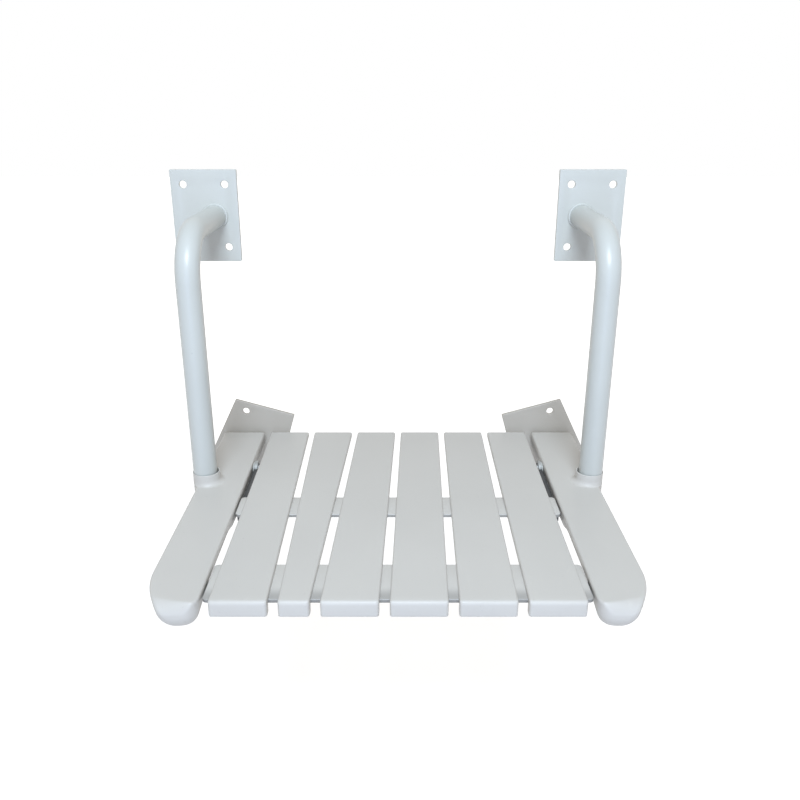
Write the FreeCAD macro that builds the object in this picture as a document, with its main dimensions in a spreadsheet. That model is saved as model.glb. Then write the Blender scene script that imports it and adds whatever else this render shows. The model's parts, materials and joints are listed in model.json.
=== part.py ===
# Fold down wall seat.
# Two steel side frames stand on the wall. Each is an upper plate, a bent arm, a side bar under the
# outer rail of the seat, and a lower plate. The slatted panel between the rails hinges on the side
# bars near the wall, rests on two stop tabs, and folds up between the arms.
# Millimetres, X to the right, Y into the wall, Z up. The origin lies on the wall, midway between
# the upper plates and level with their centres.

import FreeCAD, Part
import Sketcher
import math
import os

Vector = FreeCAD.Vector
Rotation = FreeCAD.Rotation
Placement = FreeCAD.Placement

# Driving sizes: name, value, meaning
SIZES = [
    ("plate_width", 80, "width of each upper wall plate"),
    ("plate_height", 110, "height of each upper wall plate"),
    ("plate_thick", 5, "thickness of all four wall plates"),
    ("plate_corner", 1.5, "corner radius of the wall plates"),
    ("plate_offset", 11.1, "arm to the middle of its upper plate, outwards"),
    ("wall_hole_dia", 9, "screw holes in the wall plates"),
    ("wall_hole_pitch_x", 50, "upper plate holes, across"),
    ("wall_hole_pitch_z", 75, "upper plate holes, up and down"),
    ("lower_plate_height", 90, "height of each lower wall plate"),
    ("lower_plate_flare", 16, "extra width at the foot of a lower plate, outwards"),
    ("lower_plate_inset", 15.05, "middle of a rail to the middle of its lower plate, inwards"),
    ("lower_plate_drop", 11, "seat top down to the middle of a lower plate"),
    ("lower_plate_tilt", 16, "turn of a lower plate in the plane of the wall, degrees"),
    ("lower_hole_pitch_x", 46, "lower plate holes, across the plate"),
    ("lower_hole_pitch_z", 66, "lower plate holes, along the plate"),
    ("tube_dia", 26.9, "arm tube, outside"),
    ("tube_wall", 2.3, "arm tube wall"),
    ("bend_radius", 50, "arm bend, on the tube's centre line"),
    ("arm_reach", 158, "wall to the centre line of the arm's upright"),
    ("arm_inset", 7.8, "outer edge of a rail to the centre line of its arm, inwards"),
    ("weld_leg", 3, "leg of the weld round the tube at the upper plate"),
    ("seat_drop", 282, "middle of the upper plates down to the seat top"),
    ("rear_gap", 12, "wall to the back edge of the seat"),
    ("bar_width", 16, "side bar, across"),
    ("bar_height", 20, "side bar, up and down"),
    ("bar_wall", 2, "side bar wall"),
    ("bar_reach", 374, "wall to the front end of the side bar"),
    ("bar_cover", 5, "rail skin over the side bar"),
    ("bar_play", 0.3, "side bar to the walls of its channel in the rail"),
    ("plug_flange", 3, "thickness of the end plug's flange"),
    ("plug_depth", 14, "end plug inside the side bar"),
    ("foot_thick", 4, "plate under the arm and the side bar"),
    ("foot_width", 30, "the same plate, along the bar"),
    ("rail_width", 53.3, "outer rail, across"),
    ("rail_flank", 1.5, "upright part of the rail's side above its half round"),
    ("rail_length", 393, "outer rail, back to nose"),
    ("rail_edge", 2.5, "rounding of the rail's long top edges"),
    ("rail_gap", 8.65, "gap between the panel and a rail"),
    ("nose_bow", 100, "radius that draws in the outer side of the rail's front, from above"),
    ("nose_sweep", 58.6, "length of that drawn in side"),
    ("nose_tip", 12, "outer corner radius of the nose, from above"),
    ("nose_plan", 8, "inner corner radius of the nose, from above"),
    ("nose_top", 9, "top radius of the nose seen from the side"),
    ("nose_under", 15, "bottom radius of the nose seen from the side"),
    ("socket_wall", 2.2, "collar of the rail round the arm"),
    ("socket_rise", 9, "height of that collar over the seat top"),
    ("socket_play", 0.2, "arm to its socket in the rail"),
    ("slat_width", 52.3, "slat, across its front end"),
    ("narrow_width", 28, "second slat from the left, across its front end"),
    ("slat_gap", 9.6, "gap between slats at their front ends"),
    ("rear_slat_gap", 7.5, "gap between slats at their rear ends, where all are one width"),
    ("slat_length", 387, "slat, back to front"),
    ("slat_depth", 16, "slat, top to the foot of its front apron and of its rib"),
    ("slat_side", 6, "slat, top to the foot of its long sides"),
    ("apron_length", 9, "slat, front end to the back of its front apron"),
    ("slat_skin", 4, "slat top skin, which lies on the cross bars"),
    ("slat_wall", 3, "slat skirt"),
    ("slat_front", 5, "rounding of a slat's front top edge"),
    ("slat_edge", 2, "rounding of a slat's other edges"),
    ("slat_rib", 2.5, "rib along the middle of a slat's hollow"),
    ("rear_bar_place", 211.5, "wall to the middle of the rear cross bar"),
    ("rear_bar_width", 40, "rear cross bar, back to front"),
    ("front_bar_setback", 39, "middle of the front cross bar back from the slats' front ends"),
    ("front_bar_width", 58, "front cross bar, back to front"),
    ("cross_bar_thick", 4, "both cross bars"),
    ("cross_bar_corner", 4, "corner radius of the front cross bar"),
    ("notch_play", 0.5, "slat skirt and rib to the edge of a cross bar"),
    ("strap_thick", 4, "hinge strap, across"),
    ("strap_depth", 12, "hinge strap, up and down"),
    ("strap_play", 1.4, "hinge strap to the rail beside it"),
    ("strap_setback", 10, "front of the strap back from the front of the rear cross bar"),
    ("pivot_reach", 101, "wall to the hinge pin"),
    ("pivot_drop", 11, "seat top down to the hinge pin"),
    ("eye_dia", 19, "eye of the hinge strap"),
    ("pin_dia", 8, "hinge pin"),
    ("pin_head_dia", 13, "head of the hinge pin"),
    ("pin_head_thick", 2.4, "the same, thickness"),
    ("bush_wall", 1.5, "hinge bush wall"),
    ("bush_play", 0.05, "hinge pin to the bush, on the radius"),
    ("side_play", 0.2, "hinge strap to the faces on either side of it"),
    ("spacer_dia", 15, "spacer washer between the strap and the boss"),
    ("spacer_thick", 3, "the same, thickness"),
    ("boss_dia", 15, "hinge boss on the side bar"),
    ("boss_play", 0.6, "hinge boss to its hole in the rail, on the radius"),
    ("stop_setback", 37, "middle of the stop tab back from the slats' front ends"),
    ("stop_width", 22, "stop tab, along the bar"),
    ("stop_reach", 16, "stop tab, inwards from the rail"),
    ("stop_thick", 3.5, "stop tab, up and down"),
    ("stop_pad_thick", 2, "rubber pad on the stop tab"),
    ("stop_play", 0.3, "front cross bar to the pad when the seat is down"),
    ("screw_dia", 3.5, "slat screws"),
    ("screw_share", 0.27, "slat edge to its screw, as a share of the slat's width there"),
    ("screw_bite", 2.4, "slat screw in the slat's skin"),
    ("screw_head_dia", 7, "slat screw head"),
    ("screw_head_thick", 2, "the same, thickness"),
    ("screw_play", 0.1, "screws to their holes, on the radius"),
    ("rail_screw_dia", 4.5, "screws that hold a rail on its side bar"),
    ("rail_screw_head", 8, "their heads, across"),
    ("rail_screw_first", 60, "wall to the first of them"),
    ("rail_screw_pitch", 240, "first to second"),
]

doc = FreeCAD.newDocument("WallSeat")
sheet = doc.addObject("Spreadsheet::Sheet", "Sizes")
for row, (alias, value, meaning) in enumerate(SIZES, start=1):
    sheet.set("A%d" % row, str(value))
    sheet.set("B%d" % row, meaning)
    sheet.setAlias("A%d" % row, alias)
doc.recompute()


def named(formula):
    """Put the sheet's name before each size in a formula."""
    names = sorted((alias for alias, value, meaning in SIZES), key=len, reverse=True)
    words = []
    word = ""
    for letter in formula + " ":
        if letter.isalnum() or letter == "_":
            word += letter
            continue
        words.append("Sizes." + word if word in names else word)
        words.append(letter)
        word = ""
    return "".join(words).strip()


def worth(formula):
    """Value of a formula of the sheet's sizes."""
    value = sheet.evalExpression(named(formula))
    return float(getattr(value, "Value", value))


def tie(thing, prop, formula):
    """Bind a property to a formula of the sheet's sizes."""
    thing.setExpression(prop, named(formula))


def place(thing, x="0", y="0", z="0"):
    for axis, formula in zip("xyz", (x, y, z)):
        tie(thing, "Placement.Base." + axis, formula)


# Derived lengths, as formulas of the sizes above
SEAT_TOP = "-seat_drop"
PANEL_HALF = "(5 * slat_width + narrow_width + 5 * slat_gap) / 2"
REAR_WIDTH = "((2 * %s - 5 * rear_slat_gap) / 6)" % PANEL_HALF
RAIL_INNER = "(%s + rail_gap)" % PANEL_HALF
RAIL_MIDDLE = "(%s + rail_width / 2)" % RAIL_INNER
RAIL_DEPTH = "(rail_flank + rail_width / 2)"
ARM_X = "(%s + rail_width - arm_inset)" % RAIL_INNER
BAR_INNER = "(%s - tube_dia / 2 - bar_width)" % ARM_X
BAR_MIDDLE = "(%s + bar_width / 2)" % BAR_INNER
BAR_UNDER = "(bar_cover + bar_height)"
STRAP_OUTER = "(%s - strap_play)" % RAIL_INNER
STRAP_INNER = "(%s - strap_thick)" % STRAP_OUTER
STRAP_TOP = "(slat_skin + cross_bar_thick)"
STRAP_UNDER = "(%s + strap_depth)" % STRAP_TOP
STRAP_FRONT = "(rear_bar_place + rear_bar_width / 2 - strap_setback)"
BOSS_FACE = "(%s + 2 * side_play + spacer_thick)" % STRAP_OUTER
BUSH_DIA = "(pin_dia + 2 * bush_play + 2 * bush_wall)"
STOP_TOP = "(slat_skin + cross_bar_thick + stop_play + stop_pad_thick)"
STOP_INNER = "(%s - stop_reach)" % RAIL_INNER
FRONT_END = "(rear_gap + slat_length)"
STOP_MIDDLE = "(%s - stop_setback)" % FRONT_END
CROSS_BARS = {
    "rear": ("rear_bar_place", "rear_bar_width"),
    "front": ("(%s - front_bar_setback)" % FRONT_END, "front_bar_width"),
}
EXACT = 1e-6
SLAT_WIDTHS = ["slat_width", "narrow_width"] + ["slat_width"] * 4


def slat_line(index, share, back):
    """Formula for X on a slat, at a share of its width from its left edge, so far back from its front."""
    before = " + ".join(SLAT_WIDTHS[:index] + ["%d * slat_gap" % index])
    front = "(-%s + %s + %s * %s)" % (PANEL_HALF, before, share, SLAT_WIDTHS[index])
    rear = "(-%s + %d * rear_slat_gap + (%d + %s) * %s)" % (PANEL_HALF, index, index, share, REAR_WIDTH)
    return "%s + (%s - %s) * (%s) / slat_length" % (front, rear, front, back)


# Sketch and feature helpers
def body_at(name, x="0", y="0", z="0"):
    body = doc.addObject("PartDesign::Body", name)
    place(body, x, y, z)
    return body


def sketch_on(body, role, offset=None):
    """Sketch on one of the body's own origin planes, moved along the plane's normal by a formula."""
    sketch = body.newObject("Sketcher::SketchObject", body.Name + "_sketch")
    plane = next(item for item in body.Origin.OriginFeatures if item.Role == role)
    sketch.AttachmentSupport = [(plane, "")]
    sketch.MapMode = "FlatFace"
    if offset is not None:
        tie(sketch, "AttachmentOffset.Base.z", offset)
    return sketch


def pin(sketch, geometry, point, x, y):
    """Hold a point of a sketch at formulas x and y, measured from the sketch's origin."""
    for kind, formula, axis in (("DistanceX", x, -2), ("DistanceY", y, -1)):
        value = worth(formula)
        if abs(value) < 1e-9:
            sketch.addConstraint(Sketcher.Constraint("PointOnObject", geometry, point, axis))
            continue
        ends = (-1, 1, geometry, point) if value > 0 else (geometry, point, -1, 1)
        index = sketch.addConstraint(Sketcher.Constraint(kind, *ends, abs(value)))
        signed = formula if value > 0 else "-(%s)" % formula
        tie(sketch, "Constraints[%d]" % index, signed)


def quarter_arc(first, last, radius, side):
    """Arc from first to last that bulges to the given side of its chord; its ends in sketch order."""
    chord = last - first
    outward = Vector(-chord.y, chord.x, 0) if side == "left" else Vector(chord.y, -chord.x, 0)
    outward.normalize()
    rise = math.sqrt(max(radius ** 2 - (chord.Length / 2) ** 2, 0))
    centre = (first + last) / 2 - outward * rise
    start, end = (last, first) if side == "left" else (first, last)
    angles = [math.atan2(point.y - centre.y, point.x - centre.x) for point in (start, end)]
    circle = Part.Circle(centre, Vector(0, 0, 1), radius)
    return Part.ArcOfCircle(circle, *angles), (2, 1) if side == "left" else (1, 2)


def outline(sketch, corners):
    """Closed outline. Each corner is x, y and, where a quarter arc leaves it, its side and radius."""
    points = [Vector(worth(corner[0]), worth(corner[1]), 0) for corner in corners]
    drawn = []
    for number, corner in enumerate(corners):
        first, last = points[number], points[(number + 1) % len(points)]
        if len(corner) == 2:
            drawn.append((sketch.addGeometry(Part.LineSegment(first, last)), 1, 2))
            continue
        side, radius = corner[2:]
        arc, (start, end) = quarter_arc(first, last, worth(radius), side)
        index = sketch.addGeometry(arc)
        rule = sketch.addConstraint(Sketcher.Constraint("Radius", index, worth(radius)))
        tie(sketch, "Constraints[%d]" % rule, radius)
        drawn.append((index, start, end))
    for number, (edge, start, end) in enumerate(drawn):
        following, following_start = drawn[(number + 1) % len(drawn)][:2]
        sketch.addConstraint(Sketcher.Constraint("Coincident", edge, end, following, following_start))
        pin(sketch, edge, start, corners[number][0], corners[number][1])


def rectangle(sketch, left, right, low, high):
    outline(sketch, [(left, low), (right, low), (right, high), (left, high)])


def circle(sketch, x, y, diameter):
    centre = Vector(worth(x), worth(y), 0)
    index = sketch.addGeometry(Part.Circle(centre, Vector(0, 0, 1), worth(diameter) / 2))
    rule = sketch.addConstraint(Sketcher.Constraint("Diameter", index, worth(diameter)))
    tie(sketch, "Constraints[%d]" % rule, diameter)
    pin(sketch, index, 3, x, y)


def pad(body, sketch, length, reverse=False):
    feature = body.newObject("PartDesign::Pad", body.Name + "_pad")
    feature.Profile = sketch
    tie(feature, "Length", length)
    feature.Reversed = reverse
    doc.recompute()
    return feature


def pocket(body, sketch, depth=None, reverse=False):
    """Pocket of a depth, or right through where no depth is given. It has to take material away."""
    before = body.Shape.Volume
    feature = body.newObject("PartDesign::Pocket", body.Name + "_pocket")
    feature.Profile = sketch
    feature.Reversed = reverse
    if depth is None:
        feature.Type = "ThroughAll"
    else:
        tie(feature, "Length", depth)
    doc.recompute()
    if body.Shape.Volume >= before:
        raise RuntimeError("a pocket in %s cuts nothing" % body.Name)
    return feature


def round_edges(body, radius, wanted):
    """Fillet the edges of the body's tip for which wanted(edge) holds."""
    base = body.Tip
    edges = base.Shape.Edges
    names = ["Edge%d" % number for number, edge in enumerate(edges, start=1) if wanted(edge)]
    feature = body.newObject("PartDesign::Fillet", body.Name + "_fillet")
    feature.Base = (base, names)
    tie(feature, "Radius", radius)
    doc.recompute()
    return feature


def runs_along(edge, axis):
    """Whether an edge is straight and runs along the axis numbered 0, 1 or 2."""
    box = edge.BoundBox
    spans = [box.XLength, box.YLength, box.ZLength]
    others = [span for number, span in enumerate(spans) if number != axis]
    return isinstance(edge.Curve, Part.Line) and spans[axis] > EXACT and max(others) < EXACT


# Primitive helpers
def solid_cylinder(name, radius, length, x, y, z, axis):
    """Cylinder from the point x, y, z along the axis."""
    item = doc.addObject("Part::Cylinder", name)
    tie(item, "Radius", radius)
    tie(item, "Height", length)
    item.Placement.Rotation = Rotation(Vector(0, 0, 1), axis)
    place(item, x, y, z)
    return item


def solid_box(name, x, y, z, size_x, size_y, size_z):
    """Box with its lowest corner at x, y, z."""
    item = doc.addObject("Part::Box", name)
    tie(item, "Length", size_x)
    tie(item, "Width", size_y)
    tie(item, "Height", size_z)
    place(item, x, y, z)
    return item


def cut(name, base, tool):
    item = doc.addObject("Part::Cut", name)
    item.Base = base
    item.Tool = tool
    return item


def fuse(name, *pieces):
    item = doc.addObject("Part::MultiFuse", name)
    item.Shapes = list(pieces)
    return item


def together(name, pieces):
    item = doc.addObject("Part::Compound", name)
    item.Links = pieces
    return item


def mirrored(piece):
    """Left hand copy of a right hand piece."""
    item = doc.addObject("Part::Mirroring", piece.Name.replace("right_", "left_"))
    item.Source = piece
    item.Normal = Vector(1, 0, 0)
    return item


TO_RIGHT = Vector(1, 0, 0)
TO_LEFT = Vector(-1, 0, 0)
TO_WALL = Vector(0, 1, 0)
TO_ROOM = Vector(0, -1, 0)
UP = Vector(0, 0, 1)
DOWN = Vector(0, 0, -1)


# Wall plates
def upper_plate():
    body = body_at("right_upper_plate", x="%s + plate_offset" % ARM_X)
    sketch = sketch_on(body, "XZ_Plane")
    half_width, half_height = "plate_width / 2", "plate_height / 2"
    rectangle(sketch, "-" + half_width, half_width, "-" + half_height, half_height)
    for across in ("-wall_hole_pitch_x / 2", "wall_hole_pitch_x / 2"):
        for upward in ("-wall_hole_pitch_z / 2", "wall_hole_pitch_z / 2"):
            circle(sketch, across, upward, "wall_hole_dia")
    pad(body, sketch, "plate_thick")
    round_edges(body, "plate_corner", lambda edge: runs_along(edge, 1))
    return body


def lower_plate():
    """Plate turned in the plane of the wall, with a wider foot; its screws lie up and out, down and in."""
    body = body_at("right_lower_plate", "%s - lower_plate_inset" % RAIL_MIDDLE, "0",
                   SEAT_TOP + " - lower_plate_drop")
    body.Placement.Rotation = Rotation(TO_ROOM, worth("lower_plate_tilt"))
    tie(body, "Placement.Rotation.Angle", "lower_plate_tilt")
    sketch = sketch_on(body, "XZ_Plane")
    half_width, half_height = "plate_width / 2", "lower_plate_height / 2"
    outline(sketch, [
        ("-" + half_width, "-" + half_height),
        (half_width + " + lower_plate_flare", "-" + half_height),
        (half_width, half_height),
        ("-" + half_width, half_height),
    ])
    circle(sketch, "lower_hole_pitch_x / 2", "lower_hole_pitch_z / 2", "wall_hole_dia")
    circle(sketch, "-lower_hole_pitch_x / 2", "-lower_hole_pitch_z / 2", "wall_hole_dia")
    pad(body, sketch, "plate_thick")
    round_edges(body, "plate_corner", plate_corner_edge)
    return body


def plate_corner_edge(edge):
    """Upright of the plate, in its own frame: a straight edge as long as the plate is thick."""
    return isinstance(edge.Curve, Part.Line) and abs(edge.Length - worth("plate_thick")) < EXACT


# Arm: out from the upper plate, round the bend and down to the foot
def arm_tube():
    body = body_at("right_arm_tube", x=ARM_X, y="-plate_thick")
    path = sketch_on(body, "YZ_Plane")
    reach = "(arm_reach - plate_thick)"
    drop = "(seat_drop + %s)" % BAR_UNDER
    bend_start = Vector(-worth(reach + " - bend_radius"), 0, 0)
    bend_end = Vector(-worth(reach), -worth("bend_radius"), 0)
    foot = Vector(-worth(reach), -worth(drop), 0)
    out = path.addGeometry(Part.LineSegment(Vector(0, 0, 0), bend_start))
    arc, (arc_start, arc_end) = quarter_arc(bend_start, bend_end, worth("bend_radius"), "right")
    bend = path.addGeometry(arc)
    down = path.addGeometry(Part.LineSegment(bend_end, foot))
    path.addConstraint(Sketcher.Constraint("Coincident", out, 1, -1, 1))
    path.addConstraint(Sketcher.Constraint("Coincident", out, 2, bend, arc_start))
    path.addConstraint(Sketcher.Constraint("Coincident", bend, arc_end, down, 1))
    rule = path.addConstraint(Sketcher.Constraint("Radius", bend, worth("bend_radius")))
    tie(path, "Constraints[%d]" % rule, "bend_radius")
    pin(path, bend, arc_start, "-(%s - bend_radius)" % reach, "0")
    pin(path, bend, arc_end, "-" + reach, "-bend_radius")
    pin(path, down, 2, "-" + reach, "-" + drop)
    section = sketch_on(body, "XZ_Plane")
    circle(section, "0", "0", "tube_dia")
    circle(section, "0", "0", "tube_dia - 2 * tube_wall")
    doc.recompute()
    pipe = body.newObject("PartDesign::AdditivePipe", body.Name + "_pipe")
    pipe.Profile = section
    pipe.Spine = (path, ["Edge1", "Edge2", "Edge3"])
    doc.recompute()
    return body


def root_weld():
    """Fillet weld round the tube where it leaves the upper plate."""
    ring = doc.addObject("Part::Cone", "right_root_weld_ring")
    tie(ring, "Radius1", "tube_dia / 2 + weld_leg")
    tie(ring, "Radius2", "tube_dia / 2 + 0.2 * weld_leg")
    tie(ring, "Height", "weld_leg")
    ring.Placement.Rotation = Rotation(UP, TO_ROOM)
    place(ring, ARM_X, "-plate_thick", "0")
    core = solid_cylinder("right_root_weld_core", "tube_dia / 2", "weld_leg", ARM_X, "-plate_thick", "0",
                          TO_ROOM)
    return cut("right_root_weld", ring, core)


def arm_foot():
    """Flat under the side bar and the arm, half round under the arm; both are welded to it."""
    body = body_at("right_arm_foot", ARM_X, "-arm_reach", "%s - %s" % (SEAT_TOP, BAR_UNDER))
    sketch = sketch_on(body, "XY_Plane")
    inner = "-(tube_dia / 2 + bar_width)"
    round_end = "foot_width / 2"
    outline(sketch, [
        (inner, "-" + round_end),
        ("0", "-" + round_end, "right", round_end),
        (round_end, "0", "right", round_end),
        ("0", round_end),
        (inner, round_end),
    ])
    pad(body, sketch, "foot_thick", reverse=True)
    return body


# Side bar, its end plug and what is welded to it
def side_bar():
    body = body_at("right_side_bar", BAR_MIDDLE, "-plate_thick", "%s - bar_cover" % SEAT_TOP)
    sketch = sketch_on(body, "XZ_Plane")
    rectangle(sketch, "-bar_width / 2", "bar_width / 2", "-bar_height", "0")
    rectangle(sketch, "-bar_width / 2 + bar_wall", "bar_width / 2 - bar_wall",
              "-bar_height + bar_wall", "-bar_wall")
    pad(body, sketch, "bar_reach - plate_thick")
    holes = sketch_on(body, "XY_Plane")
    for number in range(2):
        along = "plate_thick - rail_screw_first - %d * rail_screw_pitch" % number
        circle(holes, "0", along, "rail_screw_dia + 2 * screw_play")
    pocket(body, holes)
    return body


def bar_plug():
    flange = solid_box("right_bar_plug_flange", BAR_INNER, "-bar_reach - plug_flange",
                       "%s - %s" % (SEAT_TOP, BAR_UNDER), "bar_width", "plug_flange", "bar_height")
    shank = solid_box("right_bar_plug_shank", "%s + bar_wall" % BAR_INNER, "-bar_reach",
                      "%s - %s + bar_wall" % (SEAT_TOP, BAR_UNDER),
                      "bar_width - 2 * bar_wall", "plug_depth", "bar_height - 2 * bar_wall")
    return fuse("right_bar_plug", flange, shank)


def hinge_boss():
    length = "%s - %s" % (BAR_INNER, BOSS_FACE)
    height = "%s - pivot_drop" % SEAT_TOP
    block = solid_cylinder("right_hinge_boss_block", "boss_dia / 2", length, BOSS_FACE, "-pivot_reach",
                           height, TO_RIGHT)
    bore = solid_cylinder("right_hinge_boss_bore", "pin_dia / 2", length, BOSS_FACE, "-pivot_reach",
                          height, TO_RIGHT)
    return cut("right_hinge_boss", block, bore)


def hinge_pin():
    """Pin held in the boss, with its head on the inner side of the strap."""
    height = "%s - pivot_drop" % SEAT_TOP
    neck = "%s - side_play" % STRAP_INNER
    shank = solid_cylinder("right_hinge_pin_shank", "pin_dia / 2", "%s - (%s)" % (BAR_INNER, neck), neck,
                           "-pivot_reach", height, TO_RIGHT)
    head = solid_cylinder("right_hinge_pin_head", "pin_head_dia / 2", "pin_head_thick", neck,
                          "-pivot_reach", height, TO_LEFT)
    return fuse("right_hinge_pin", shank, head)


def hinge_spacer():
    height = "%s - pivot_drop" % SEAT_TOP
    face = "%s + side_play" % STRAP_OUTER
    disc = solid_cylinder("right_hinge_spacer_disc", "spacer_dia / 2", "spacer_thick", face,
                          "-pivot_reach", height, TO_RIGHT)
    bore = solid_cylinder("right_hinge_spacer_bore", "pin_dia / 2 + bush_play", "spacer_thick", face,
                          "-pivot_reach", height, TO_RIGHT)
    return cut("right_hinge_spacer", disc, bore)


def stop_tab():
    """Tab welded to the side bar, which reaches inwards under the end of the front cross bar."""
    return solid_box("right_stop_tab", STOP_INNER, "-%s - stop_width / 2" % STOP_MIDDLE,
                     "%s - %s - stop_thick" % (SEAT_TOP, STOP_TOP),
                     "%s - %s" % (BAR_INNER, STOP_INNER), "stop_width", "stop_thick")


def stop_pad():
    return solid_box("right_stop_pad", STOP_INNER, "-%s - stop_width / 2" % STOP_MIDDLE,
                     "%s - %s" % (SEAT_TOP, STOP_TOP),
                     "stop_reach - strap_play", "stop_width", "stop_pad_thick")


# Outer rail: a half round moulding with a bull nose, which sits over the side bar
def side_rail():
    body = body_at("right_side_rail", RAIL_MIDDLE, "-rear_gap", SEAT_TOP)
    half = "rail_width / 2"
    section = sketch_on(body, "XZ_Plane")
    outline(section, [
        ("-" + half, "0"),
        ("-" + half, "-rail_flank", "right", half),
        ("0", "-" + RAIL_DEPTH, "right", half),
        (half, "-rail_flank"),
        (half, "0"),
    ])
    pad(body, section, "rail_length")
    round_edges(body, "rail_edge", lambda edge: runs_along(edge, 1) and edge.BoundBox.ZMax > -EXACT)
    nose_from_above = sketch_on(body, "XY_Plane")
    front = "-rail_length"
    tip_reach = "sqrt((nose_bow - nose_tip) ^ 2 - (nose_sweep - nose_tip) ^ 2)"
    stretch = "nose_bow / (nose_bow - nose_tip)"
    outline(nose_from_above, [
        (half, front),
        (half, front + " + nose_sweep", "left", "nose_bow"),
        ("%s - nose_bow + %s * %s" % (half, tip_reach, stretch),
         "%s + nose_sweep - (nose_sweep - nose_tip) * %s" % (front, stretch), "left", "nose_tip"),
        ("%s - nose_bow + %s" % (half, tip_reach), front),
    ])
    outline(nose_from_above, [
        ("-" + half, front),
        ("-" + half + " + nose_plan", front, "left", "nose_plan"),
        ("-" + half, front + " + nose_plan"),
    ])
    pocket(body, nose_from_above)
    nose_from_side = sketch_on(body, "YZ_Plane")
    outline(nose_from_side, [
        (front, "0"),
        (front, "-nose_top", "left", "nose_top"),
        (front + " + nose_top", "0"),
    ])
    outline(nose_from_side, [
        (front, "-" + RAIL_DEPTH),
        (front + " + nose_under", "-" + RAIL_DEPTH, "left", "nose_under"),
        (front, "-%s + nose_under" % RAIL_DEPTH),
    ])
    both_ways = pocket(body, nose_from_side)
    both_ways.Midplane = True
    arm_x = "(rail_width / 2 - arm_inset)"
    arm_y = "rear_gap - arm_reach"
    for height, downwards in ((BAR_UNDER, True), ("socket_rise", False)):
        socket = sketch_on(body, "XY_Plane")
        circle(socket, arm_x, arm_y, "tube_dia + 2 * socket_play + 2 * socket_wall")
        pad(body, socket, height, reverse=downwards)
    arm_hole = sketch_on(body, "XY_Plane")
    circle(arm_hole, arm_x, arm_y, "tube_dia + 2 * socket_play")
    up_and_down = pocket(body, arm_hole)
    up_and_down.Midplane = True
    channel = sketch_on(body, "XY_Plane", offset="-bar_cover")
    bar_x = "(%s - tube_dia / 2 - bar_width / 2)" % arm_x
    rectangle(channel, "%s - bar_width / 2 - bar_play" % bar_x, "%s + bar_width / 2 + bar_play" % bar_x,
              "rear_gap - bar_reach - plug_flange - bar_play", "bar_play")
    pocket(body, channel)
    foot_recess = sketch_on(body, "XY_Plane", offset="-%s + bar_play" % BAR_UNDER)
    rectangle(foot_recess, "-" + half, half, arm_y + " - foot_width / 2 - bar_play",
              arm_y + " + foot_width / 2 + bar_play")
    pocket(body, foot_recess)
    boss_hole = sketch_on(body, "YZ_Plane")
    circle(boss_hole, "rear_gap - pivot_reach", "-pivot_drop", "boss_dia + 2 * boss_play")
    pocket(body, boss_hole)
    tab_notch = sketch_on(body, "XY_Plane", offset="-%s + stop_play" % STOP_TOP)
    tab_middle = "rear_gap - " + STOP_MIDDLE
    rectangle(tab_notch, "-%s - bar_play" % half, "0",
              tab_middle + " - stop_width / 2 - stop_play", tab_middle + " + stop_width / 2 + stop_play")
    pocket(body, tab_notch)
    screw_holes = sketch_on(body, "XY_Plane", offset="-bar_cover + screw_bite")
    for number in range(2):
        along = "rear_gap - rail_screw_first - %d * rail_screw_pitch" % number
        circle(screw_holes, bar_x, along, "rail_screw_dia + 2 * screw_play")
    pocket(body, screw_holes)
    return body


def screw(name, x, y, tip, dia, length, head_dia, head_thick):
    """Screw driven upwards, from its tip down to the head under what it holds."""
    shank = solid_cylinder(name + "_shank", "%s / 2" % dia, length, x, y, tip, DOWN)
    head = solid_cylinder(name + "_head", "%s / 2" % head_dia, head_thick, x, y,
                          "%s - (%s)" % (tip, length), DOWN)
    return fuse(name, shank, head)


def rail_screws():
    pieces = []
    for number in range(2):
        along = "-rail_screw_first - %d * rail_screw_pitch" % number
        pieces.append(screw("right_rail_screw_%d" % (number + 1), BAR_MIDDLE, along,
                            "%s - bar_cover + screw_bite" % SEAT_TOP, "rail_screw_dia",
                            "bar_height + screw_bite", "rail_screw_head", "screw_head_thick"))
    return together("right_rail_screws", pieces)


# Folding panel
def hinge_strap():
    """Upright flat under the end of the rear cross bar, with an eye round the hinge pin."""
    body = body_at("right_hinge_strap", STRAP_INNER, "0", SEAT_TOP)
    sketch = sketch_on(body, "YZ_Plane")
    front = "-" + STRAP_FRONT
    rectangle(sketch, front, "-pivot_reach", "-" + STRAP_UNDER, "-" + STRAP_TOP)
    pad(body, sketch, "strap_thick")
    eye = sketch_on(body, "YZ_Plane")
    circle(eye, "-pivot_reach", "-pivot_drop", "eye_dia")
    pad(body, eye, "strap_thick")
    bore = sketch_on(body, "YZ_Plane")
    circle(bore, "-pivot_reach", "-pivot_drop", BUSH_DIA)
    pocket(body, bore, reverse=True)
    round_edges(body, "strap_depth / 3", lambda edge: runs_along(edge, 0) and is_front_foot(edge))
    return body


def is_front_foot(edge):
    """The strap's lower front corner, in the body's frame."""
    at_front = abs(edge.BoundBox.YMin - worth("-" + STRAP_FRONT)) < EXACT
    return at_front and abs(edge.BoundBox.ZMin + worth(STRAP_UNDER)) < EXACT


def hinge_bush():
    height = "%s - pivot_drop" % SEAT_TOP
    sleeve = solid_cylinder("right_hinge_bush_sleeve", BUSH_DIA + " / 2", "strap_thick", STRAP_INNER,
                            "-pivot_reach", height, TO_RIGHT)
    bore = solid_cylinder("right_hinge_bush_bore", "pin_dia / 2 + bush_play", "strap_thick", STRAP_INNER,
                          "-pivot_reach", height, TO_RIGHT)
    return cut("right_hinge_bush", sleeve, bore)


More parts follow.
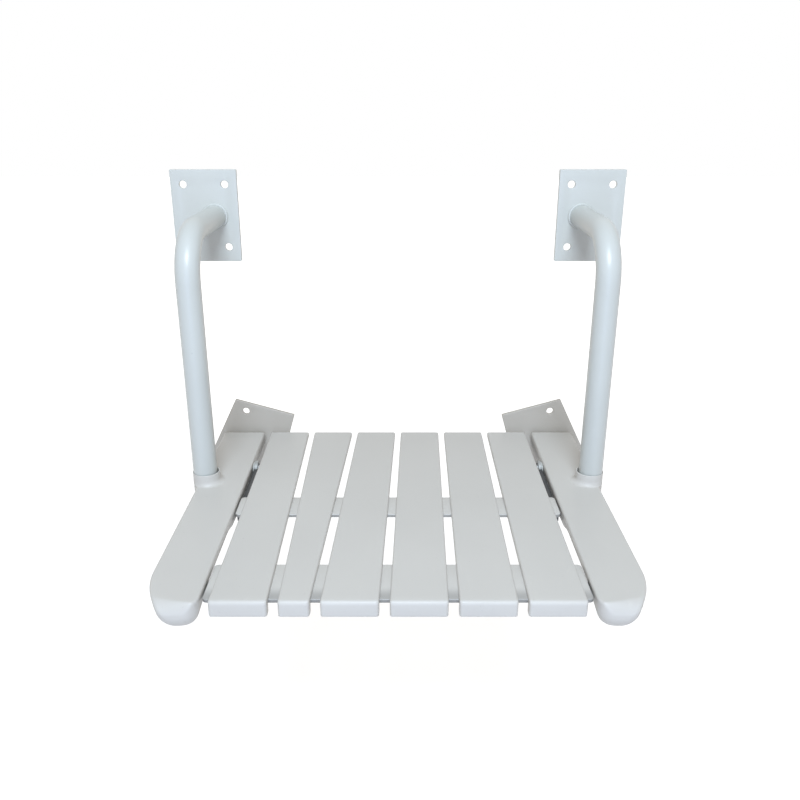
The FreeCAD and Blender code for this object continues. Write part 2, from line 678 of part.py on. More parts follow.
def cross_bar(which):
    """Flat bar under the slats' skins, with two screw holes under each slat."""
    middle, width = CROSS_BARS[which]
    half = STRAP_OUTER
    body = body_at(which + "_cross_bar", "0", "-" + middle, "%s - slat_skin" % SEAT_TOP)
    sketch = sketch_on(body, "XY_Plane")
    rectangle(sketch, "-" + half, half, "-%s / 2" % width, "%s / 2" % width)
    for index in range(len(SLAT_WIDTHS)):
        for side in (-1, 1):
            circle(sketch, screw_x(which, index, side), "0", "screw_dia + 2 * screw_play")
    pad(body, sketch, "cross_bar_thick", reverse=True)
    end = worth(half)
    round_edges(body, "cross_bar_corner", lambda edge: runs_along(edge, 2)
                and abs(abs(edge.BoundBox.XMin) - end) < EXACT)
    return body


def screw_x(which, index, side):
    """Formula for a slat screw's place over a cross bar: near one side of the slat."""
    share = "screw_share" if side < 0 else "(1 - screw_share)"
    return slat_line(index, share, "%s - %s" % (FRONT_END, CROSS_BARS[which][0]))


def slat(index):
    """Slat that widens or narrows to the front: skin, low sides, apron at the front, rib along it."""
    body = body_at("slat_%d" % (index + 1), "0", "-rear_gap", SEAT_TOP)

    def across(share, back, inward="0"):
        return "%s + %s" % (slat_line(index, share, back), inward)

    def strip(sketch, front, rear, wall):
        """Part of the slat's plan from front to rear, both measured back from its front end."""
        outline(sketch, [
            (across("0", front, wall), "-slat_length + " + front),
            (across("1", front, "-" + wall), "-slat_length + " + front),
            (across("1", rear, "-" + wall), "-slat_length + " + rear),
            (across("0", rear, wall), "-slat_length + " + rear),
        ])

    for rear, depth in (("slat_length", "slat_side"), ("apron_length", "slat_depth")):
        plan = sketch_on(body, "XY_Plane")
        strip(plan, "0", rear, "0")
        pad(body, plan, depth, reverse=True)
    length = worth("slat_length")
    round_edges(body, "slat_front", lambda edge: runs_along(edge, 0)
                and abs(edge.BoundBox.YMin + length) < EXACT and abs(edge.BoundBox.ZMax) < EXACT)
    sides = [(worth(across(share, "0")), worth(across(share, "slat_length"))) for share in "01"]
    round_edges(body, "slat_edge", lambda edge: any(is_slat_side(edge, side, length) for side in sides))
    hollow = sketch_on(body, "XY_Plane", offset="-slat_skin")
    strip(hollow, "slat_wall", "(slat_length - slat_wall)", "slat_wall")
    pocket(body, hollow)
    rib = sketch_on(body, "XY_Plane", offset="-slat_skin")
    ends = [(back, across("0.5", back)) for back in ("slat_wall", "(slat_length - slat_wall)")]
    (front, front_x), (rear, rear_x) = ends
    outline(rib, [
        (front_x + " - slat_rib / 2", "-slat_length + " + front),
        (front_x + " + slat_rib / 2", "-slat_length + " + front),
        (rear_x + " + slat_rib / 2", "-slat_length + " + rear),
        (rear_x + " - slat_rib / 2", "-slat_length + " + rear),
    ])
    pad(body, rib, "slat_depth - slat_skin", reverse=True)
    notches = sketch_on(body, "XY_Plane", offset="-slat_skin")
    for middle, bar_width in CROSS_BARS.values():
        low = "rear_gap - %s - %s / 2 - notch_play" % (middle, bar_width)
        high = "rear_gap - %s + %s / 2 + notch_play" % (middle, bar_width)
        rectangle(notches, across("-0.5", "0"), across("1.5", "0"), low, high)
    pocket(body, notches)
    holes = sketch_on(body, "XY_Plane", offset="-slat_skin + screw_bite + screw_play")
    for which, (middle, bar_width) in CROSS_BARS.items():
        for side in (-1, 1):
            circle(holes, screw_x(which, index, side), "rear_gap - " + middle, "screw_dia + 2 * screw_play")
    pocket(body, holes)
    return body


def is_slat_side(edge, side, length):
    """Top and front edges on the side of a slat that runs between two X values, front and rear."""
    box = edge.BoundBox
    for vertex in edge.Vertexes:
        line = side[0] + (side[1] - side[0]) * (vertex.Y + length) / length
        if abs(vertex.X - line) > 1e-4:
            return False
    on_top = abs(box.ZMax) < EXACT and abs(box.ZMin) < EXACT and box.YLength > length / 2
    at_front = box.YMax < worth("slat_front") - length + EXACT
    return on_top or at_front


def slat_screws(which):
    middle = CROSS_BARS[which][0]
    pieces = []
    for index in range(len(SLAT_WIDTHS)):
        for side in (-1, 1):
            name = "%s_slat_screw_%d" % (which, len(pieces) + 1)
            pieces.append(screw(name, screw_x(which, index, side), "-" + middle,
                                "%s - slat_skin + screw_bite" % SEAT_TOP, "screw_dia",
                                "screw_bite + cross_bar_thick", "screw_head_dia", "screw_head_thick"))
    return together(which + "_slat_screws", pieces)


RIGHT_PIECES = [
    upper_plate, lower_plate, arm_tube, root_weld, arm_foot, side_bar, bar_plug, hinge_boss, hinge_pin,
    hinge_spacer, stop_tab, stop_pad, side_rail, rail_screws, hinge_strap, hinge_bush,
]

nodes = []
for make in RIGHT_PIECES:
    right = make()
    nodes.append(right)
    nodes.append(mirrored(right))
for which in CROSS_BARS:
    nodes.append(cross_bar(which))
    nodes.append(slat_screws(which))
for index in range(len(SLAT_WIDTHS)):
    nodes.append(slat(index))
doc.recompute()

# Every object has to be sound before anything is written
for item in doc.Objects:
    if "Invalid" in item.State or "Error" in item.State:
        raise RuntimeError("%s failed" % item.Name)
for node in nodes:
    if node.Shape.isNull() or not node.Shape.isValid():
        raise RuntimeError("%s has no valid shape" % node.Name)

os.makedirs("parts", exist_ok=True)
for node in nodes:
    node.Label = node.Name
    node.Shape.exportStep("parts/%s.step" % node.Name)
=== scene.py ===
"""Looks of the fold down wall seat: moulded seat, painted arms and plates, hinge and its screws."""

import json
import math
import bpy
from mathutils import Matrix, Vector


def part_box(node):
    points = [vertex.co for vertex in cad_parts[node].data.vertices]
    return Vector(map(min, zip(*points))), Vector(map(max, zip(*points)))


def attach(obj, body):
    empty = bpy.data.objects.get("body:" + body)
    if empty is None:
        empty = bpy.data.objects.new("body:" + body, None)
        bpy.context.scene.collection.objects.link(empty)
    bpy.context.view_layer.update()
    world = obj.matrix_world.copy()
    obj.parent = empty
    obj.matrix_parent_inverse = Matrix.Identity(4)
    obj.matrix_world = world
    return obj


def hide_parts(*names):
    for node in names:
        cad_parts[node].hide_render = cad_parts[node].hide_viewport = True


bl_info = {
    "name": "Fold down wall seat",
    "version": (1, 0, 0),
    "blender": (4, 5, 0),
    "location": "View3D > Sidebar > Wall Seat",
    "description": "Dresses the wall seat's frame with its moulded, painted and steel surfaces",
    "category": "Object",
}

import bmesh
import bpy
import numpy as np
from mathutils import Vector

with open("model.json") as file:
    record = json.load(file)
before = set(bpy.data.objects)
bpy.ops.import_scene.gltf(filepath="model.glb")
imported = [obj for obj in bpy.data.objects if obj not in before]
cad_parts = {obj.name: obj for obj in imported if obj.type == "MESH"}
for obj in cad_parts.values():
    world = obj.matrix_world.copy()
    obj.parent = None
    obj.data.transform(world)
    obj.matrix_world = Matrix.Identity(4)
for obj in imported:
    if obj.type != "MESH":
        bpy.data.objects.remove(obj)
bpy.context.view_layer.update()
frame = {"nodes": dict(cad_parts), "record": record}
NODES = frame["nodes"]

MM = 0.001
SIDES = (("left", -1), ("right", 1))
FRAME_BODY = "wall_frame"
PANEL_BODY = "seat_panel"


def linear(red, green, blue):
    """Linear colour of a 0 to 255 display colour: ((c / 255 + 0.055) / 1.055) to the power 2.4."""
    return tuple(((value / 255 + 0.055) / 1.055) ** 2.4 for value in (red, green, blue))


def box_of(node):
    """Lowest and highest corner of a node, in metres."""
    low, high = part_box(node)
    return np.array(low, float), np.array(high, float)


SEAT_TOP = box_of("slat_1")[1][2]
ARM_LOW, ARM_HIGH = box_of("right_arm_tube")
ARM_X, ARM_R = (ARM_LOW[0] + ARM_HIGH[0]) / 2, (ARM_HIGH[0] - ARM_LOW[0]) / 2
FOOT_LOW, FOOT_HIGH = box_of("right_arm_foot")
ARM_Y = (FOOT_LOW[1] + FOOT_HIGH[1]) / 2
COLLAR = ARM_R + 0.7 * MM  # a collar's radius on its outer side
RAIL_HALF = 26.65 * MM
RAIL_X = box_of("right_side_rail")[0][0] + RAIL_HALF
ROOM = 0.3 * MM  # round what a rail holds
PIVOT = np.array(frame["record"]["behaviour"]["joints"][0]["pos_m"], float)


# Sizes and colours that a user would change

class SeatSizes(bpy.types.PropertyGroup):
    slat_edge: bpy.props.FloatProperty(
        name="Slat edge", description="Rounding of a slat's long top edges",
        default=2.0 * MM, min=0.2 * MM, unit="LENGTH")
    slat_front: bpy.props.FloatProperty(
        name="Slat front", description="Rounding of a slat's front top edge",
        default=4.0 * MM, min=0.5 * MM, unit="LENGTH")
    nose_bow: bpy.props.FloatProperty(
        name="Nose, outer side", description="Radius that draws in the outer side of a nose",
        default=100.0 * MM, min=60.0 * MM, unit="LENGTH")
    nose_tip: bpy.props.FloatProperty(
        name="Nose, outer corner", description="Radius of a nose's outer corner from above",
        default=12.0 * MM, min=1.0 * MM, unit="LENGTH")
    nose_plan: bpy.props.FloatProperty(
        name="Nose, inner corner", description="Radius of a nose's inner corner from above",
        default=15.0 * MM, min=1.0 * MM, unit="LENGTH")
    nose_top: bpy.props.FloatProperty(
        name="Nose, top", description="How far a nose has fallen from its flat top at the front",
        default=11.0 * MM, min=1.0 * MM, unit="LENGTH")
    nose_under: bpy.props.FloatProperty(
        name="Nose, under", description="Radius of a nose at its underside",
        default=15.0 * MM, min=1.0 * MM, unit="LENGTH")
    plate_edge: bpy.props.FloatProperty(
        name="Plate edge", description="Rounding of the paint on the edges of the wall plates",
        default=0.7 * MM, min=0.1 * MM, unit="LENGTH")
    weld_bead: bpy.props.FloatProperty(
        name="Weld bead", description="Radius of a weld bead's section",
        default=1.8 * MM, min=0.5 * MM, unit="LENGTH")


class SeatColours(bpy.types.PropertyGroup):
    seat: bpy.props.FloatVectorProperty(
        name="Seat", description="Colour of the moulded slats and rails",
        subtype="COLOR", default=linear(211, 208, 203), min=0, max=1)
    arms: bpy.props.FloatVectorProperty(
        name="Arms", description="Colour of the painted arms",
        subtype="COLOR", default=linear(203, 206, 203), min=0, max=1)
    upper_plates: bpy.props.FloatVectorProperty(
        name="Upper plates", description="Colour of the painted upper plates",
        subtype="COLOR", default=linear(205, 207, 203), min=0, max=1)
    lower_plates: bpy.props.FloatVectorProperty(
        name="Lower plates", description="Colour of the painted lower plates",
        subtype="COLOR", default=linear(191, 185, 176), min=0, max=1)
    steel: bpy.props.FloatVectorProperty(
        name="Steel", description="Colour of the bare steel of the hinge and the screws",
        subtype="COLOR", default=linear(150, 152, 154), min=0, max=1)
    rubber: bpy.props.FloatVectorProperty(
        name="Rubber", description="Colour of the stop pads and the bars' end plugs",
        subtype="COLOR", default=linear(48, 49, 51), min=0, max=1)


# Materials

class Wire:
    """A value in a material or the world. Python arithmetic on it adds Math nodes."""

    def __init__(self, graph, socket):
        self.graph = graph
        self.socket = socket

    def maths(self, operation, *values):
        inputs = dict(enumerate(values))
        return self.graph.node("ShaderNodeMath", {"operation": operation}, inputs)

    def __add__(self, other):
        return self.maths("ADD", self, other)

    def __radd__(self, other):
        return self.maths("ADD", other, self)

    def __mul__(self, other):
        return self.maths("MULTIPLY", self, other)

    def __rmul__(self, other):
        return self.maths("MULTIPLY", other, self)

    def absolute(self):
        return self.maths("ABSOLUTE", self)

    def or_more(self, other):
        return self.maths("MAXIMUM", self, other)


class Graph:
    """The nodes that lead to one shader, of a material or of the world."""

    def __init__(self, tree, shader):
        self.tree = tree
        self.shader = shader

    def node(self, kind, settings=None, inputs=None, output=0):
        """Add a node: its settings or a ramp's stops, then the values or links of its sockets."""
        item = self.tree.nodes.new(kind)
        for key, value in (settings or {}).items():
            if key == "stops":
                for element, (position, level) in zip(item.color_ramp.elements, value):
                    element.position = position
                    element.color = (level, level, level, 1)
            else:
                setattr(item, key, value)
        for key, value in (inputs or {}).items():
            if isinstance(value, Wire):
                self.tree.links.new(value.socket, item.inputs[key])
            else:
                item.inputs[key].default_value = value
        return Wire(self, item.outputs[output])

    def mix(self, factor, first, second):
        """Colour between two colours."""
        inputs = {0: factor, 6: colour(first), 7: colour(second)}
        return self.node("ShaderNodeMix", {"data_type": "RGBA"}, inputs, 2)

    def eased(self, value, start, end, low=0.0, high=1.0):
        """Low to high along an s-shaped curve, as a value goes from a start to an end."""
        inputs = {"Value": value, "From Min": start, "From Max": end, "To Min": low, "To Max": high}
        return self.node("ShaderNodeMapRange", {"interpolation_type": "SMOOTHSTEP"}, inputs)

    def sees_background(self):
        """1 for rays from the camera, in reflections and through glass, and 0 for all others."""
        camera, glossy, through = (
            self.node("ShaderNodeLightPath", output=name)
            for name in ("Is Camera Ray", "Is Glossy Ray", "Is Transmission Ray"))
        return camera.or_more(glossy).or_more(through)

    def feed(self, socket, value):
        self.tree.links.new(value.socket, self.shader.inputs[socket])


class Finish(Graph):
    """One procedural material on a Principled BSDF. Its patterns lie on Object coordinates."""

    def __init__(self, name, **fixed):
        self.material = bpy.data.materials.new(name)
        self.material.use_nodes = True
        tree = self.material.node_tree
        tree.nodes.clear()
        super().__init__(tree, tree.nodes.new("ShaderNodeBsdfPrincipled"))
        output = tree.nodes.new("ShaderNodeOutputMaterial")
        tree.links.new(self.shader.outputs[0], output.inputs["Surface"])
        for socket, value in fixed.items():
            self.shader.inputs[socket.replace("_", " ")].default_value = value
        self.place = self.node("ShaderNodeTexCoord", output="Object")

    def stretched(self, x, y, z):
        """Object coordinates multiplied along each axis."""
        return self.node("ShaderNodeMapping", None, {"Vector": self.place, "Scale": (x, y, z)})

    def noise(self, scale, detail=2.0, vector=None, roughness=0.5):
        inputs = {"Vector": vector or self.place, "Scale": scale, "Detail": detail,
                  "Roughness": roughness}
        return self.node("ShaderNodeTexNoise", None, inputs)

    def above(self, value, start, end):
        """0 up to a start and 1 from an end, so that only a noise's peaks are left."""
        stops = ((start, 0.0), (end, 1.0))
        return self.node("ShaderNodeValToRGB", {"stops": stops}, {"Fac": value})

    def rise(self, axis, start, end):
        """0 to 1 as an Object coordinate goes from a start to an end. X counts from the middle."""
        value = self.node("ShaderNodeSeparateXYZ", None, {"Vector": self.place}, axis)
        return self.eased(value.absolute() if axis == "X" else value, start, end)

    def tones(self, base, ground, low, high, *layers):
        """A low to a high tone of a base colour over a ground, and layers of a share and a tone."""
        body = self.mix(ground, toned(base, low), toned(base, high))
        for share, tone in layers:
            body = self.mix(share, body, toned(base, tone))
        return body

    def bump(self, height, strength, distance):
        inputs = {"Height": height, "Strength": strength, "Distance": distance}
        self.feed("Normal", self.node("ShaderNodeBump", None, inputs))


def colour(value):
    return value if isinstance(value, Wire) else (*tuple(value)[:3], 1.0)


def toned(base, factor):
    return tuple(min(part * factor, 1.0) for part in tuple(base)[:3])


def moulded_finish(base):
    """Moulded seat plastic: clouding, flow lines, a fine grain, scuffs, and painted shade on the
    sides that face the gaps.
    """
    finish = Finish("moulded_seat", Specular_IOR_Level=0.42)
    clouds = finish.noise(7.0, 3.0)
    flow = finish.noise(26.0, 3.0, finish.stretched(1.0, 0.08, 1.0))
    specks = finish.above(finish.noise(330.0), 0.70, 0.76)
    rubbed = finish.noise(55.0, 5.0, finish.stretched(1.0, 0.22, 1.0), 0.7)
    scuffs = finish.above(rubbed, 0.60, 0.72)
    # Painted shade: from 2 mm below the top down, the slats' sides and the rails' inner flanks are
    # darkened, but not at the front ends, as if the gaps lay in shade.
    below = finish.rise("Z", SEAT_TOP - 2 * MM, SEAT_TOP - 8 * MM)
    gap_shade = below * finish.rise("Y", -390 * MM, -375 * MM) * finish.rise("X", 190 * MM, 184 * MM)
    finish.feed("Base Color", finish.tones(
        base, clouds, 0.93, 1.05,
        (flow * 0.22, 0.90), (scuffs * 0.16, 1.16), (specks * 0.22, 0.62), (gap_shade * 0.6, 0.38)))
    finish.feed("Roughness", 0.36 + clouds * 0.10 + scuffs * 0.16)
    grain = finish.noise(900.0)
    finish.bump(grain * 0.35 + flow * 0.65, 0.16, 0.6 * MM)
    return finish.material


def painted_finish(name, base, gloss, shaded=False):
    """Baked paint on steel: an orange peel, soft clouding and a few small marks.

    With shaded set, as for the cross bars, painted shade darkens them towards their fronts and down
    from their tops.
    """
    finish = Finish(name, Coat_Roughness=0.16)
    clouds = finish.noise(11.0)
    marks = finish.above(finish.noise(240.0, 3.0), 0.71, 0.76)
    layers = [(marks * 0.25, 0.60)]
    if shaded:
        # Painted shade: the cross bars are darkened towards their fronts and below their tops,
        # where they lie in the slats' shade.
        top, shade_tone = float(box_of("front_cross_bar")[1][2]), 0.35
        layers.append((finish.rise("Y", -368 * MM, -385 * MM) * 0.55, shade_tone))
        layers.append((finish.rise("Z", top - 0.1 * MM, top - 1.2 * MM) * 0.7, shade_tone))
    finish.feed("Base Color", finish.tones(base, clouds, 0.95, 1.04, *layers))
    finish.feed("Roughness", (0.42 - gloss * 0.2) + clouds * 0.10 + marks * 0.2)
    finish.feed("Coat Weight", gloss * 0.5 + clouds * 0.1)
    peel = finish.noise(420.0, 1.0)
    dust = finish.noise(1500.0, 1.0)
    finish.bump(peel * 0.8 + dust * 0.2, 0.12, 0.5 * MM)
    return finish.material


def steel_finish(name, base, grain_scale, roughness):
    """Bare steel: a drawn grain along one axis, with dull patches."""
    finish = Finish(name, Metallic=1.0)
    grain = finish.noise(1.0, 4.0, finish.stretched(*grain_scale))
    patches = finish.noise(60.0, 3.0)
    finish.feed("Base Color", finish.tones(base, grain, 0.80, 1.15, (patches * 0.4, 0.62)))
    finish.feed("Roughness", roughness + grain * 0.14 + patches * 0.12)
    finish.bump(grain, 0.25, 0.2 * MM)
    return finish.material


def shaded_strap_finish(base):
    """Strap steel on a dark base, partly its own darker steel and partly painted shade for the
    narrow gap it sits in, with a pale plated face on the eye round the hinge pin.
    """
    eye_edge, flat_start, pale = 9.4 * MM, 11.0 * MM, linear(196, 197, 194)
    finish = Finish("strap_steel")
    grain = finish.noise(1.0, 4.0, finish.stretched(700, 40, 700))
    patches = finish.noise(70.0, 3.0)
    away = finish.node("ShaderNodeVectorMath", {"operation": "DISTANCE"},
                       {0: finish.stretched(0, 1, 1), 1: (0, PIVOT[1], PIVOT[2])}, "Value")
    flat = finish.eased(away + patches * MM, eye_edge, flat_start)
    body = finish.tones(base, grain, 0.75, 1.25, (patches * 0.4, 0.5))
    finish.feed("Base Color", finish.mix(flat, pale, body))
    finish.feed("Roughness", 0.42 + grain * 0.14 + patches * 0.12)
    finish.feed("Metallic", 0.1 + flat * 0.8)
    finish.bump(grain, 0.25, 0.2 * MM)
    return finish.material


def rubber_finish(base):
    """Rubber and dark plastic: a dusty bloom over a fine texture."""
    finish = Finish("stop_rubber", Specular_IOR_Level=0.3)
    bloom = finish.noise(85.0, 4.0)
    finish.feed("Base Color", finish.tones(base, bloom, 0.75, 1.7))
    finish.feed("Roughness", 0.66 + bloom * 0.22)
    finish.bump(finish.noise(1300.0), 0.3, 0.3 * MM)
    return finish.material


def bronze_finish(base):
    """Sintered bearing bronze: oily mottling over a fine pitted face."""
    finish = Finish("bush_bronze", Metallic=1.0)
    pits = finish.noise(1100.0)
    oil = finish.noise(150.0, 3.0)
    finish.feed("Base Color", finish.tones(base, oil, 0.6, 1.1))
    finish.feed("Roughness", 0.34 + oil * 0.2)
    finish.bump(pits, 0.3, 0.2 * MM)
    return finish.material


def make_finishes():
    colours = bpy.context.scene.seat_colours
    # The strap's steel is toned down to 0.4: partly its own darker steel, partly painted shade for
    # the narrow gap it sits in.
    bar, strap = toned(colours.seat, 0.97), toned(colours.steel, 0.4)
    screw = toned(colours.steel, 1.25)
    return {
        "seat": moulded_finish(colours.seat),
        "arms": painted_finish("arm_paint", colours.arms, 0.35),
        "upper": painted_finish("upper_plate_paint", colours.upper_plates, 0.3),
        "panel": painted_finish("cross_bar_paint", bar, 0.3, shaded=True),
        "lower": painted_finish("lower_plate_paint", colours.lower_plates, 0.2),
        "steel": steel_finish("hinge_steel", colours.steel, (900, 60, 900), 0.30),
        "strap": shaded_strap_finish(strap),
        "screw": steel_finish("screw_steel", screw, (500, 500, 60), 0.26),
        "spacer": painted_finish("spacer_plastic", linear(205, 204, 198), 0.1),
        "rubber": rubber_finish(colours.rubber),
        "bush": bronze_finish(linear(196, 160, 102)),
    }


FINISHES = {}


# Surfaces

def ring_quads(index):
    """Quads between the rows of a grid of point numbers, each row closed round."""
    turned = np.roll(index, -1, axis=1)
    quads = np.stack([index[:-1], turned[:-1], turned[1:], index[1:]], axis=-1)
    return quads.reshape(-1, 4).tolist()


def start_mesh(name, parts):
    """Mesh of parts, each a grid of closed rings and whether its ends close, and its bmesh."""
    points, faces, indices, first = [], [], [], 0
    for rings, closed_ends in parts:
        index = first + np.arange(rings.shape[0] * rings.shape[1]).reshape(rings.shape[:2])
        faces += ring_quads(index)
        if closed_ends:
            faces += [index[0][::-1].tolist(), index[-1].tolist()]
        points.append(rings.reshape(-1, 3))
        indices.append(index)
        first += index.size
    mesh = bpy.data.meshes.new(name)
    mesh.from_pydata(np.concatenate(points), [], faces)
    work = bmesh.new()
    work.from_mesh(mesh)
    return mesh, work, indices


def finish_mesh(work, mesh, sharp):
    """Close seams, drop what has no area, point faces outwards, shade smooth up to an angle."""
    bmesh.ops.remove_doubles(work, verts=work.verts, dist=1e-6)
    bmesh.ops.dissolve_degenerate(work, dist=1e-7, edges=work.edges)
    bmesh.ops.recalc_face_normals(work, faces=work.faces)
    work.to_mesh(mesh)
    work.free()
    mesh.shade_smooth()
    mesh.set_sharp_from_angle(angle=math.radians(sharp))


def show(mesh, body, finish, node):
    """Put a mesh in the scene, on its body, with its finish, in place of its CAD node."""
    item = bpy.data.objects.new(mesh.name, mesh)
    bpy.context.scene.collection.objects.link(item)
    mesh.materials.append(FINISHES[finish])
    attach(item, body)
    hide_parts(node)


def skin(name, parts, body, finish, node, sharp=38):
    """One piece from lofted parts."""
    mesh, work, _ = start_mesh(name, parts)
    finish_mesh(work, mesh, sharp)
    show(mesh, body, finish, node)


def quarter(steps):
    """Angles from 0 to a quarter turn."""
    return np.linspace(0, math.pi / 2, steps)


def round_drop(distance, radius):
    """How far a quarter round has dropped at a distance from its foot: r - sqrt(r2 - (r - d)2)."""
    inside = np.clip(radius - distance, 0, radius)
    return radius - np.sqrt(radius ** 2 - inside ** 2)


def faded(distance, length):
    """1 at a distance of nothing, 0 from a length on: cos2(pi a / 2 l)."""
    return math.cos(math.pi / 2 * min(distance / length, 1)) ** 2


def crossed_section(half_x, half_y, radius, steps=6):
    """Rounded rectangle: quarter circles of the radius round a smaller rectangle's corners."""
    angles = np.concatenate([quarter(steps) + turn * math.pi / 2 for turn in range(4)])
    radius = min(radius, half_x, half_y)
    x = np.repeat([1, -1, -1, 1], steps) * (half_x - radius) + radius * np.cos(angles)
    y = np.repeat([1, 1, -1, -1], steps) * (half_y - radius) + radius * np.sin(angles)
    return np.stack([x, y], axis=1)


def block_rings(low, high, axis, corner, edge):
    """Bar between two corners: a rounded rectangle carried along an axis, drawn in at both ends."""
    others = [number for number in range(3) if number != axis]
    middle, half = (low + high) / 2, (high - low) / 2
    inset, along = edge * (1 - np.sin(quarter(4))), edge * (1 - np.cos(quarter(4)))
    places = np.concatenate([low[axis] + along, high[axis] - along[::-1]])
    rings = []
    for place, drawn in zip(places, np.concatenate([inset, inset[::-1]])):
        outline = crossed_section(half[others[0]] - drawn, half[others[1]] - drawn, corner)
        ring = np.full((len(outline), 3), place)
        ring[:, others] = outline + middle[others]
        rings.append(ring)
    return np.array(rings), True


def turned_rings(centre, profile, steps=48):
    """Turned part: a profile of (place along X, radius) carried round an axis along X."""
    profile = np.asarray(profile, float)
    angles = np.linspace(0, 2 * math.pi, steps, endpoint=False)
    rings = np.empty((len(profile), steps, 3))
    rings[:, :, 0] = profile[:, :1]
    rings[:, :, 1] = centre[1] + profile[:, 1:] * np.cos(angles)
    rings[:, :, 2] = centre[2] + profile[:, 1:] * np.sin(angles)
    return rings


def bead_rings(path, across, radius, ripples):
    """Weld bead along a closed path, a round section whose radius swells in even ripples.

    At a share u of the path the radius is r (1 + 0.10 |sin(pi n u)| - 0.05 sin(10 pi u)).
    """
    ahead = np.roll(path, -1, axis=0) - np.roll(path, 1, axis=0)
    ahead /= np.linalg.norm(ahead, axis=1)[:, None]
    side = np.cross(ahead, across)
    run = math.pi * np.linspace(0, 1, len(path), endpoint=False)
    swell = radius * (1 + 0.10 * np.abs(np.sin(ripples * run)) - 0.05 * np.sin(10 * run))
    turn = np.linspace(0, 2 * math.pi, 16, endpoint=False)[None, :, None]
    offset = across[:, None] * np.cos(turn) + side[:, None] * np.sin(turn)
    rings = path[:, None] + swell[:, None, None] * offset
    return np.concatenate([rings, rings[:1]]), False


# Pieces

def slat_line(number, share, place):
    """X on a slat at a share of its width, at a place in Y.

    The slats fan: from the rear, where all are one width, to the front every edge runs straight,
    x = xf + (xr - xf) (y - yf) / (yr - yf).
    """
    widths = np.array([52.3, 28.0, 52.3, 52.3, 52.3, 52.3]) * MM
    gap, rear_gap = 9.6 * MM, 7.5 * MM
    front, rear = -399 * MM, -12 * MM
    panel_half = (widths.sum() + 5 * gap) / 2
    rear_width = (2 * panel_half - 5 * rear_gap) / 6
    front_x = -panel_half + widths[:number].sum() + number * gap + share * widths[number]
    rear_x = -panel_half + number * rear_gap + (number + share) * rear_width
    return front_x + (rear_x - front_x) * (place - front) / (rear - front)


def slat_stations(front, back, front_round, bars):
    """Places along a slat and its section there. Where the section changes a place comes twice."""
    wall, apron, play, back_round = 3 * MM, 9 * MM, 0.5 * MM, 1.2 * MM
    rounding = front_round * (1 - np.cos(quarter(10)))
    marks = [(front + min(step, wall), "wall") for step in rounding]
    marks += [(front + wall, "wall"), (front + wall, "apron")]
    marks += [(front + min(max(front_round, wall), apron), "apron"), (front + apron, "apron")]
    for number, (low, high) in enumerate(sorted(bars)):
        if number:
            marks += [(place, "body") for place in np.linspace(marks[-1][0], low - play, 9)]
        else:
            marks += [(front + apron, "body"), (low - play, "body")]
        marks += [(low - play, "notch"), (high + play, "notch"), (high + play, "body")]
    marks += [(place, "body") for place in np.linspace(marks[-1][0], back - wall, 9)[1:]]
    marks += [(back - wall, "end")]
    return marks + [(back - step, "end") for step in back_round * (1 - np.sin(quarter(5)))]


def slat_rings(number, edge, front_round):
    """Slat: a rounded top over low sides and a middle rib, with a deep apron at the front.

    At each place the top drops by d and each side draws in by d, d = r - sqrt(r2 - (r - a)2) at a
    distance a from the end.
    """
    back_round, side_round, apron_round, foot_round = 1.2 * MM, 3 * MM, 1 * MM, 0.7 * MM
    wall, rib, across, curve = 3 * MM, 1.25 * MM, 7, quarter(7)
    low, high = box_of("slat_%d" % (number + 1))
    bars = [[float(corner[1]) for corner in box_of(name)]
            for name in ("rear_cross_bar", "front_cross_bar")]
    front, back = low[1], high[1]
    foot_z, skin_z, side_z = low[2], SEAT_TOP - 4 * MM, SEAT_TOP - 6 * MM
    sections = {  # levels of the side's foot, the hollow and the rib's foot
        "wall": (foot_z, foot_z, foot_z), "apron": (foot_z, skin_z, foot_z),
        "body": (side_z, skin_z, foot_z), "notch": (skin_z, skin_z, skin_z),
        "end": (side_z, side_z, side_z),
    }
    rings = []
    for place, kind in slat_stations(front, back, front_round, bars):
        ahead, behind = place - front, back - place
        left, right = slat_line(number, 0, place), slat_line(number, 1, place)
        middle, half = (left + right) / 2, (right - left) / 2
        wide = half - round_drop(ahead, side_round) - round_drop(behind, back_round)
        drop = round_drop(ahead, front_round) + round_drop(behind, back_round)
        right_x = wide - edge + edge * np.sin(curve)
        right_z = SEAT_TOP - drop - edge + edge * np.cos(curve)
        flat = np.linspace(-right_x[0], right_x[0], across + 2)[1:-1]
        upper_x = np.concatenate([-right_x[::-1], flat, right_x])
        upper_z = np.concatenate([right_z[::-1], np.full(across, right_z[0]), right_z])
        skirt, hollow, rib_foot = np.array(sections[kind]) + round_drop(ahead, apron_round)
        soft, turn = min(foot_round, (upper_z[-1] - skirt) / 3), quarter(4)
        inner = wide - wall
        lower_x = np.append(wide - soft * (1 - np.cos(turn)), [inner, inner, rib, rib])
        lower_z = np.append(skirt + soft * (1 - np.sin(turn)), [skirt, hollow, hollow, rib_foot])
        xs = np.concatenate([upper_x, lower_x, -lower_x[::-1]]) + middle
        zs = np.concatenate([upper_z, lower_z, lower_z[::-1]])
        rings.append(np.stack([xs, np.full(len(xs), place), zs], axis=1))
    return np.array(rings), True


